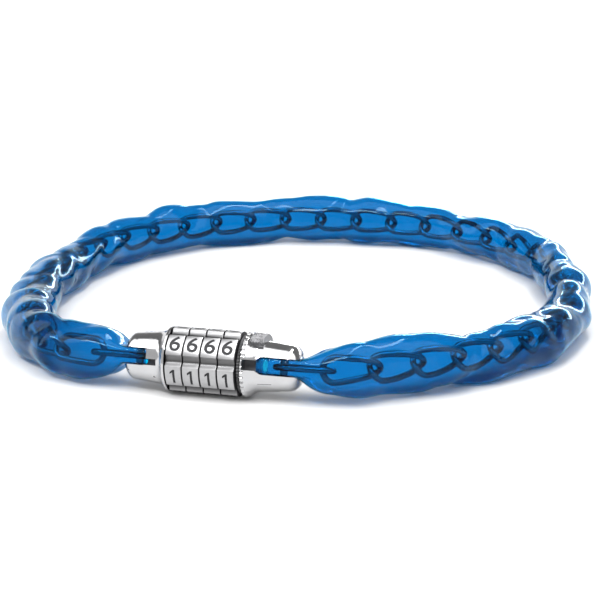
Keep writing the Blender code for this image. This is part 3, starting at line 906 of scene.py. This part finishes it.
def settle_film(rings, opened, settings):
    """Simulates the film as cloth: a narrower, longer tube than the space it starts in, so that it
    draws in round the chain and buckles along its length. Returns its points, ring by ring."""
    bm = lofted([[point * SIM_SCALE for point in ring] for ring in rings])
    cloth = add_object("film_cloth", mesh_of("film_cloth", bm))
    held = cloth.vertex_groups.new(name="held")
    for i, share in enumerate(opened):
        if share <= 0:
            held.add(list(range(i * FILM_SIDES, (i + 1) * FILM_SIDES)), 1.0, "REPLACE")
    cloth.shape_key_add(name="Basis")
    flat = cloth.shape_key_add(name="cut")
    distances = film_distances()
    radius = settings.girth / math.tau * SIM_SCALE
    for i, distance in enumerate(distances):
        turn = settings.twist * noise.noise(Vector((distance * TWIST_SPACING, 0, 0)))
        along = (distance - distances[0]) * (1 + settings.slack) * SIM_SCALE
        for k in range(FILM_SIDES):
            angle = math.tau * k / FILM_SIDES + turn
            flat.data[i * FILM_SIDES + k].co = (along, radius * math.cos(angle), radius * math.sin(angle))
    colliders = [chain_collider(), ground_collider()]
    for collider in colliders:
        collider.modifiers.new("collision", "COLLISION")
        collider.collision.thickness_outer = 0.003
        collider.collision.cloth_friction = 2.0
    modifier = cloth.modifiers.new("cloth", "CLOTH")
    film = modifier.settings
    film.quality = 6
    film.time_scale = 1.0
    film.mass = 0.15
    film.tension_stiffness = 60.0
    film.compression_stiffness = 60.0
    film.shear_stiffness = 30.0
    film.bending_stiffness = 0.9
    film.air_damping = 3.0
    film.effector_weights.gravity = 0.02
    film.vertex_group_mass = held.name
    film.rest_shape_key = flat
    modifier.collision_settings.distance_min = 0.004
    modifier.collision_settings.collision_quality = 3
    modifier.point_cache.frame_start = 1
    modifier.point_cache.frame_end = SIM_FRAMES
    scene = bpy.context.scene
    for number in range(1, SIM_FRAMES + 1):
        scene.frame_set(number)
    settled = cloth.evaluated_get(bpy.context.evaluated_depsgraph_get()).data
    points = [vert.co / SIM_SCALE for vert in settled.vertices]
    for made in [cloth, *colliders]:
        bpy.data.objects.remove(made, do_unlink=True)
    scene.frame_set(1)
    return [points[i * FILM_SIDES:(i + 1) * FILM_SIDES] for i in range(FILM_RINGS)]


def creased(rings, opened, settings):
    """The settled film with its panels pushed outwards between sharp old creases."""
    bm = lofted(rings)
    bm.normal_update()
    bm.verts.ensure_lookup_table()
    crumpled = []
    for i, (ring, share) in enumerate(zip(rings, opened)):
        middle = sum(ring, Vector()) / FILM_SIDES
        points = []
        for k, point in enumerate(ring):
            normal = bm.verts[i * FILM_SIDES + k].normal
            outward = normal if normal.dot(point - middle) > 0 else -normal
            near, next_near = noise.voronoi(point * CREASE_SPACING)[0][:2]
            panel = min((next_near - near) * CREASE_SLOPE, 1.0)
            pushed = point + outward * settings.crease * share * panel
            pushed.z = max(pushed.z, FILM_FLOOR + settings.film_thickness)
            points.append(pushed)
        crumpled.append(points)
    bm.free()
    return crumpled


def follow_the_chain(piece):
    """Bends the sleeve between the lock and the plug, by the same shares as the chain's links."""
    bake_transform(piece, "lock_body", "plug", start=(LEFT_CAP_X[0], 0, AXIS_Z), end=(RIGHT_CAP_X[1], 0, AXIS_Z))
    values = piece.data.attributes["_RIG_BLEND"].data
    turning = max(ROUTE_LINE.line, key=lambda point: point.y)
    for vert in piece.data.vertices:
        half = 0.5 * min(max(vert.co.y / LOOP_DEPTH, 0.0), 1.0)
        values[vert.index].value = half if vert.co.x < turning.x else 1 - half


class CHAINLOCK_OT_sleeve(bpy.types.Operator):
    bl_idname = "chain_lock.sleeve"
    bl_label = "Sleeve"

    def execute(self, context):
        settings = context.scene.chain_lock_sleeve
        made = [film_ring(distance, settings) for distance in film_distances()]
        rings, opened = [points for points, _ in made], [share for _, share in made]
        rings = settle_film(rings, opened, settings)
        rings = creased(rings, opened, settings)
        sleeve = make_piece("vinyl_film_sleeve", lofted(rings), film_material(settings.colour))
        smooth = sleeve.modifiers.new("smooth", "SUBSURF")
        smooth.levels = smooth.render_levels = 1
        wall = sleeve.modifiers.new("wall", "SOLIDIFY")
        wall.thickness = settings.film_thickness
        wall.offset = 1.0
        applied(sleeve, sharp=70.0)
        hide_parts("vinyl_sleeve")
        follow_the_chain(sleeve)
        distances = film_distances()
        path = [ROUTE_LINE.at(distance) for distance in distances]
        tuple(path[0])
        distances[-1] - distances[0]
        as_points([tuple(point) for point in path[::3]] + [tuple(path[-1])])
        return {"FINISHED"}


# ---------------------------------------------------------------- barrel


def groove_distance(angle):
    sector = math.tau / DIAL_POSITIONS
    return abs((angle - GROOVE_ANGLE + sector / 2) % sector - sector / 2)


def dial_radius(angle, inset=0.0):
    """A dial's outside: round, with a finger groove before each numeral."""
    share = min(groove_distance(angle) / GROOVE_HALF, 1.0)
    return DIAL_RADIUS - inset - GROOVE_DEPTH * math.cos(share * math.pi / 2) ** 0.7


def numeral_outline(text, settings):
    """A numeral's solid lying flat: the font's, but for a one with a flag."""
    if text == "1":
        height = settings.numeral_height
        points = [Vector((x * height, y * height, -settings.numeral_depth)) for x, y in FLAGGED_ONE]
        return prism(points, Vector((0, 0, 2 * settings.numeral_depth)))
    font = bpy.data.curves.new("numeral", "FONT")
    font.body = text
    font.size = settings.numeral_height / NUMERAL_SHARE
    font.align_x = "CENTER"
    font.align_y = "CENTER"
    font.extrude = settings.numeral_depth
    font.offset = NUMERAL_WEIGHT
    font.resolution_u = 4
    flat = add_object("numeral", font)
    mesh = bpy.data.meshes.new_from_object(flat)
    bpy.data.objects.remove(flat, do_unlink=True)
    bm = bmesh.new()
    bm.from_mesh(mesh)
    bmesh.ops.scale(bm, vec=(NUMERAL_WIDENING, 1, 1), verts=bm.verts)
    return bm


def numeral_mesh(text, settings):
    """The numeral cut across into strips, so that it can be wrapped."""
    bm = numeral_outline(text, settings)
    bmesh.ops.remove_doubles(bm, verts=bm.verts, dist=2e-6)
    for i in range(1, NUMERAL_STRIPS):
        height = settings.numeral_height * (i / NUMERAL_STRIPS - 0.5)
        bmesh.ops.bisect_plane(
            bm, geom=[*bm.verts, *bm.edges, *bm.faces], plane_co=(0, height, 0), plane_no=(0, 1, 0)
        )
    bmesh.ops.triangulate(bm, faces=bm.faces)
    return bm


def wrapped_numerals(name, middle, low, high, material, settings):
    """All six numerals of a dial, wrapped round it between two radii."""
    numerals = []
    for place in range(DIAL_POSITIONS):
        turn = GROOVE_ANGLE + math.tau / DIAL_POSITIONS * (place + 0.5)
        bm = numeral_mesh(str(DIAL_POSITIONS - place), settings)
        for vert in bm.verts:
            radius = high if vert.co.z > 0 else low
            vert.co = polar(middle + vert.co.x, radius, turn + vert.co.y / DIAL_RADIUS)
        numerals.append(bm)
    return make_piece(name, raise_to_axis(joined(numerals)), material, sharp=30.0)


def build_dial(number, metal, black, settings):
    start, end = DIAL_SPANS[number - 1]
    start, end = start + SIDE_SHAVE, end - SIDE_SHAVE
    edge = settings.edge
    outer = ((0.0, edge), (edge * 0.3, edge * 0.3), (edge, 0.0))
    sections = [(start + x, lambda a, inset=inset: dial_radius(a, inset)) for x, inset in outer]
    sections += [(end - x, lambda a, inset=inset: dial_radius(a, inset)) for x, inset in reversed(outer)]
    sections += [(end, lambda a: DIAL_BORE), (start, lambda a: DIAL_BORE)]
    dial = make_piece(f"numbered_dial_{number}", ringed(sections, DIAL_STEPS), metal)
    middle = (start + end) / 2
    floor = DIAL_RADIUS - settings.numeral_depth
    cutter = wrapped_numerals("engraving", middle, floor, DIAL_RADIUS + ENGRAVING_REACH, black, settings)
    cut(dial, [cutter])
    dial.data.materials.clear()
    for material in (metal, black):
        dial.data.materials.append(material)
    # The dial's sides get the black material as painted shade, dark as the gaps between the dials.
    for face in dial.data.polygons:
        face.material_index = int(abs(face.normal.x) > SHADED_SIDE_FACING)
    low, high = floor - INFILL_SEAT, floor + INFILL_RISE
    numerals = wrapped_numerals(f"dial_{number}_numerals", middle, low, high, black, settings)
    body = body_of_node(f"dial_{number}")
    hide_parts(f"dial_{number}")
    for piece in (dial, numerals):
        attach(piece, body)


class CHAINLOCK_OT_dials(bpy.types.Operator):
    """Build the four numbered dials with their engraved numerals"""

    bl_idname = "chain_lock.dials"
    bl_label = "Dials"

    def execute(self, context):
        settings = context.scene.chain_lock_barrel
        metal = satin_material(settings.satin)
        # The numerals' black infill, also used as the painted shade on the dials' sides.
        black = dark_material("black_infill", (0.012, 0.012, 0.014), 0.55)
        for number in range(1, len(DIAL_SPANS) + 1):
            build_dial(number, metal, black, settings)
        return {"FINISHED"}


def slot_outline(end, depth, corner, steps=8):
    """A cap's slot seen square on: (x, across) from outside the cap's end to its rounded bottom."""
    sign = math.copysign(1.0, end)
    bottom = end - sign * depth
    points = [(end + sign * 0.002, -SLOT_HALF)]
    for start, middle_across in ((-math.pi / 2, corner - SLOT_HALF), (0.0, SLOT_HALF - corner)):
        for step in range(steps + 1):
            angle = start + math.pi / 2 * step / steps
            x = bottom + sign * (corner - corner * math.cos(angle))
            points.append((x, middle_across + corner * math.sin(angle)))
    points.append((end + sign * 0.002, SLOT_HALF))
    if SLOT_HALF - corner < 1e-6:
        del points[steps + 2]
    return points


def slot_cutters(end, depth, corner, notch_across, pin_x):
    """The shapes cut out of a cap: its slot, the index notch and the anchor pin's hole."""
    sign = math.copysign(1.0, end)
    outline = [tilted(x, -CUTTER_REACH, across) for x, across in slot_outline(end, depth, corner)]
    slot = raise_to_axis(prism(outline, polar(0.0, 2 * CUTTER_REACH, SLOT_TILT)))
    bottom = end - sign * depth
    low, high = sorted((bottom + sign * CORNER_CUT, bottom - sign * NOTCH_LENGTH))
    below, above = notch_across
    corners = ((low, below), (high, below), (high, above), (low, above))
    points = [tilted(x, NOTCH_FLOOR, across) for x, across in corners]
    notch = raise_to_axis(prism(points, polar(0.0, CUTTER_REACH - NOTCH_FLOOR, SLOT_TILT)))
    foot, top = tilted(pin_x, 0, -CUTTER_REACH), tilted(pin_x, 0, CUTTER_REACH)
    hole = rod(foot, top, PIN_RADIUS + PIN_PLAY, PIN_SIDES)
    return [make_piece(name, bm, None) for name, bm in (("slot", slot), ("notch", notch), ("hole", hole))]


def darken_notch(cap, black):
    """Gives the notch's recessed floor its own dark material: painted shade, as falls in the recess."""
    cap.data.materials.append(black)
    for face in cap.data.polygons:
        along = (face.center - Vector((0, 0, AXIS_Z))).dot(polar(0.0, 1.0, SLOT_TILT))
        if abs(along - NOTCH_FLOOR) < 1e-5:
            face.material_index = 1


def smooth_profile(points, steps):
    """A smooth outline through (x, radius) points."""
    return [(p.x, p.y) for p in smooth_line([(x, r, 0.0) for x, r in points], steps)]


def build_left_cap(chrome, black, settings):
    """The fixed cap: a bullet end, a long cone and a short flare up to the dials."""
    start, end = LEFT_CAP_X
    shape = (
        (0.0, 0.0036),
        (0.0003, 0.0047),
        (0.0010, 0.0058),
        (0.0021, 0.0076),
        (0.0035, 0.0086),
        (0.0060, 0.0090),
        (0.0129, 0.0097),
        (0.0148, 0.0102),
        (0.0160, 0.0110),
        (0.0171, DIAL_RADIUS),
    )
    profile = smooth_profile([(start + x, radius) for x, radius in shape], 4)
    socket = CORE_RADIUS + CLEARANCE
    seat = LEFT_SLOT_DEPTH + SCREW_HEAD + 2 * CLEARANCE
    profile += [(end, DIAL_RADIUS), (end, socket), (start + 0.0139, socket)]
    profile += [(start + 0.0139, SCREW_RADIUS + CLEARANCE), (start + seat, SCREW_RADIUS + CLEARANCE)]
    profile += [(start + seat, SCREW_HEAD_RADIUS + CLEARANCE), (start, SCREW_HEAD_RADIUS + CLEARANCE)]
    cap = make_piece("left_cap_casting", turned(profile, True, CAP_STEPS), chrome)
    cut(cap, slot_cutters(start, LEFT_SLOT_DEPTH, LEFT_SLOT_CORNER, LEFT_NOTCH, LEFT_PIN_X))
    soften_edges(cap, settings.edge)
    darken_notch(cap, black)
    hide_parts("left_end_cap")
    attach(cap, "lock_body")


def rim_tick(angle, count):
    """How deep a groove of the ticked rim is at an angle, from 0 to 1."""
    away = abs((angle * count / math.tau) % 1.0 - 0.5) * 2
    return max(0.0, 1 - away / 0.5) ** 0.6


def build_right_cap(chrome, black, settings):
    """The plug's cap: a ticked rim, a cone and a tapered barrel with a slot."""
    start, end = RIGHT_CAP_X
    tick = settings.tick_depth
    shape = (
        (0.0037, 0.0034, 0.0),
        (0.0, 0.0034, 0.0),
        (0.0, DIAL_RADIUS - 0.0003, tick),
        (0.0002, DIAL_RADIUS, tick),
        (0.0013, DIAL_RADIUS, tick),
        (0.0016, DIAL_RADIUS, 0.0),
        (0.0019, DIAL_RADIUS - 0.0002, 0.0),
        (0.0030, 0.0109, 0.0),
        (0.0040, 0.0101, 0.0),
        (0.0048, 0.0097, 0.0),
        (0.0060, 0.0095, 0.0),
        (0.0110, 0.0091, 0.0),
        (0.0150, 0.0087, 0.0),
        (0.0171, 0.0084, 0.0),
        (0.0184, 0.0080, 0.0),
        (0.0194, 0.0072, 0.0),
        (0.0203, 0.0061, 0.0),
    )
    profile = [(start + x, radius, depth) for x, radius, depth in shape] + [(end, 0.0048, 0.0)]
    steps = settings.rim_ticks * TICK_STEPS
    angles = [math.tau * i / steps for i in range(steps)]
    rings = [
        [polar(x, radius - depth * rim_tick(angle, settings.rim_ticks), angle) for angle in angles]
        for x, radius, depth in profile
    ]
    cap = make_piece("plug_cap_casting", raise_to_axis(lofted(rings, capped=True)), chrome)
    cut(cap, slot_cutters(end, RIGHT_SLOT_DEPTH, SLOT_HALF, RIGHT_NOTCH, RIGHT_PIN_X))
    soften_edges(cap, settings.edge, angle=45.0)
    darken_notch(cap, black)
    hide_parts("right_end_cap")
    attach(cap, "plug")


def build_grip_pad(metal):
    """The raised pad on the plug, cross-cut into small points for the thumb."""
    low, high = PAD_ANGLES
    bm = bmesh.new()
    columns, rows = PAD_GRID
    grid = bmesh.ops.create_grid(bm, x_segments=columns, y_segments=rows, size=0.5)["verts"]
    for vert in grid:
        along, around = vert.co.x + 0.5, vert.co.y + 0.5
        x, angle = PAD_START + (PAD_END - PAD_START) * along, low + (high - low) * around
        across, down = along * PAD_CUTS[0], around * PAD_CUTS[1]
        ridges = abs((across + down) % 1.0 - 0.5) + abs((across - down) % 1.0 - 0.5)
        rough = noise.noise(Vector((x, angle * DIAL_RADIUS, 0)) * PAD_GRAIN) * PAD_ROUGHNESS
        vert.co = polar(x, PAD_RADIUS + PAD_CUT_DEPTH * ridges + rough, angle)
    made = bmesh.ops.extrude_edge_only(bm, edges=[e for e in bm.edges if e.is_boundary])["geom"]
    for vert in made:
        if isinstance(vert, bmesh.types.BMVert):
            vert.co = polar(vert.co.x, PAD_FLOOR, math.atan2(vert.co.z, -vert.co.y))
    bmesh.ops.holes_fill(bm, edges=[e for e in bm.edges if e.is_boundary], sides=0)
    pad = make_piece("plug_grip_pad", raise_to_axis(bm), metal, sharp=50.0)
    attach(pad, "plug")


def build_retaining_ring(settings):
    """The dark washer between the last dial and the plug, finely ridged round its rim."""
    start, end = RING_X
    edge = settings.edge
    radius = (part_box("retaining_ring")[1].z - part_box("retaining_ring")[0].z) / 2
    ridged = [(start, edge), (start + edge, 0.0), (end - edge, 0.0), (end, edge)]
    sections = [
        (x, lambda a, inset=inset: radius - inset - RIDGE_DEPTH * abs(math.sin(a * RIDGES / 2)))
        for x, inset in ridged
    ]
    sections += [(end, lambda a: RING_BORE), (start, lambda a: RING_BORE)]
    black = dark_material("black_oxide", (0.05, 0.05, 0.052), 0.3, metallic=0.8)
    ring = make_piece("retaining_washer", ringed(sections, RIDGES * RIDGE_STEPS), black)
    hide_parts("retaining_ring")
    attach(ring, "lock_body")


def build_anchor_pin(name, node, x, steel):
    """A riveted pin right across a cap, its domed ends just under the surface."""
    foot, top = tilted(x, 0, -PIN_REACH), tilted(x, 0, PIN_REACH)
    pin = make_piece(name, rod(foot, top, PIN_RADIUS, PIN_SIDES, PIN_DOME), steel)
    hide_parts(node)
    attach(pin, body_of_node(node))


class CHAINLOCK_OT_caps(bpy.types.Operator):
    """Build the two chromed end caps, the grip pad, the black washer and the anchor pins"""

    bl_idname = "chain_lock.caps"
    bl_label = "Caps"

    def execute(self, context):
        settings = context.scene.chain_lock_barrel
        chrome = chrome_material(settings.chrome)
        steel = steel_material("riveted_steel", (0.60, 0.61, 0.63), 0.2)
        # Painted shade for the notches' recessed floors.
        black = dark_material("unpolished_casting", (0.03, 0.03, 0.035), 0.35, metallic=0.3)
        build_left_cap(chrome, black, settings)
        build_right_cap(chrome, black, settings)
        build_grip_pad(steel_material("rough_cast_pad", (0.26, 0.26, 0.27), 0.35))
        build_retaining_ring(settings)
        build_anchor_pin("left_riveted_pin", "left_anchor_pin", LEFT_PIN_X, steel)
        build_anchor_pin("right_riveted_pin", "right_anchor_pin", RIGHT_PIN_X, steel)
        return {"FINISHED"}


class CHAINLOCK_OT_lockwork(bpy.types.Operator):
    """Finish the core, bolt, spring strip, screw and code rings"""

    bl_idname = "chain_lock.lockwork"
    bl_label = "Lock-work"

    def execute(self, context):
        steel = steel_material("lockwork_steel", (0.60, 0.61, 0.63), 0.22)
        brass = brass_material()
        for name, node in frame["nodes"].items():
            material = brass if name.startswith("code_ring") else steel
            if not node.hide_render:
                node.data.materials.clear()
                node.data.materials.append(material)
        return {"FINISHED"}


# ---------------------------------------------------------------- stage


def add_area_light(name, place, aim, size, power):
    light = bpy.data.lights.new(name, "AREA")
    light.shape = "RECTANGLE"
    light.size, light.size_y = size
    light.energy = power
    lamp = add_object(name, light)
    lamp.location = place
    lamp.rotation_euler = (Vector(aim) - Vector(place)).to_track_quat("-Z", "Y").to_euler()


def studio_world():
    """Bands of tone round the barrel: a soft box over the front, a dark wall behind it."""
    shader = Shader(bpy.data.worlds.new("studio"), main="Background")
    direction = shader.node("ShaderNodeTexCoord", {}, output="Generated")
    _, depth, height = shader.parts(direction)
    share = height.math("ARCTAN2", height, 0 - depth) / math.pi
    tones = [(place, (tone / STUDIO_BRIGHTNESS,) * 3) for place, tone in STUDIO_TONES]
    return shader.set(Color=shader.ramp(share, tones), Strength=STUDIO_BRIGHTNESS)


class CHAINLOCK_OT_stage(bpy.types.Operator):
    """Set the camera, the plain floor and the soft studio light"""

    bl_idname = "chain_lock.stage"
    bl_label = "Stage"

    def execute(self, context):
        settings = context.scene.chain_lock_stage
        lens = bpy.data.cameras.new("camera")
        lens.lens = settings.lens
        lens.sensor_width = 36.0
        lens.clip_start, lens.clip_end = 0.01, 20.0
        camera = add_object("camera", lens)
        place, aim = Vector(settings.camera_place), Vector(settings.camera_aim)
        camera.location = place
        camera.rotation_euler = (aim - place).to_track_quat("-Z", "Y").to_euler()
        context.scene.camera = camera

        bm = bmesh.new()
        bmesh.ops.create_grid(bm, x_segments=1, y_segments=1, size=4.0)
        floor = make_piece("studio_floor", bm, floor_material(settings.floor_colour))

        context.scene.world = studio_world()
        for name, light_place, size, power in STRIP_LIGHTS:
            add_area_light(name, light_place, (0, 0.1, 0), size, power)
        context.scene.view_settings.view_transform = "Standard"
        return {"FINISHED"}


# ---------------------------------------------------------------- panel and registering


class CHAINLOCK_PT_panel(bpy.types.Panel):
    """Lists the lock's settings and the steps that build it"""

    bl_idname = "CHAINLOCK_PT_panel"
    bl_label = "Chain Lock"
    bl_space_type = "VIEW_3D"
    bl_region_type = "UI"
    bl_category = "Chain Lock"

    def draw(self, context):
        scene = context.scene
        for title, settings in (
            ("Sleeve", scene.chain_lock_sleeve),
            ("Barrel", scene.chain_lock_barrel),
            ("Stage", scene.chain_lock_stage),
        ):
            box = self.layout.box()
            box.label(text=title)
            for name in settings.bl_rna.properties.keys():
                if name not in ("rna_type", "name"):
                    box.prop(settings, name)
        for operator in OPERATORS:
            self.layout.operator(operator.bl_idname)


SETTINGS = {
    "chain_lock_sleeve": ChainLockSleeveSettings,
    "chain_lock_barrel": ChainLockBarrelSettings,
    "chain_lock_stage": ChainLockStageSettings,
}
OPERATORS = (
    CHAINLOCK_OT_stage,
    CHAINLOCK_OT_sleeve,
    CHAINLOCK_OT_chain,
    CHAINLOCK_OT_dials,
    CHAINLOCK_OT_caps,
    CHAINLOCK_OT_lockwork,
)


def register():
    for settings in SETTINGS.values():
        bpy.utils.register_class(settings)
    for operator in OPERATORS:
        bpy.utils.register_class(operator)
    bpy.utils.register_class(CHAINLOCK_PT_panel)
    for name, settings in SETTINGS.items():
        setattr(bpy.types.Scene, name, bpy.props.PointerProperty(type=settings))


def unregister():
    for name in SETTINGS:
        delattr(bpy.types.Scene, name)
    bpy.utils.unregister_class(CHAINLOCK_PT_panel)
    for operator in reversed(OPERATORS):
        bpy.utils.unregister_class(operator)
    for settings in reversed(SETTINGS.values()):
        bpy.utils.unregister_class(settings)


def write_sizes():
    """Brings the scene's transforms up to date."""
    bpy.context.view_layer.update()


def main():
    register()
    for obj in [o for o in bpy.data.objects if o.name in ("Cube", "Light", "Camera")]:
        bpy.data.objects.remove(obj, do_unlink=True)
    for operator in OPERATORS:
        group, name = operator.bl_idname.split(".")
        getattr(getattr(bpy.ops, group), name)()
    write_sizes()


if __name__ == "__main__":
    main()
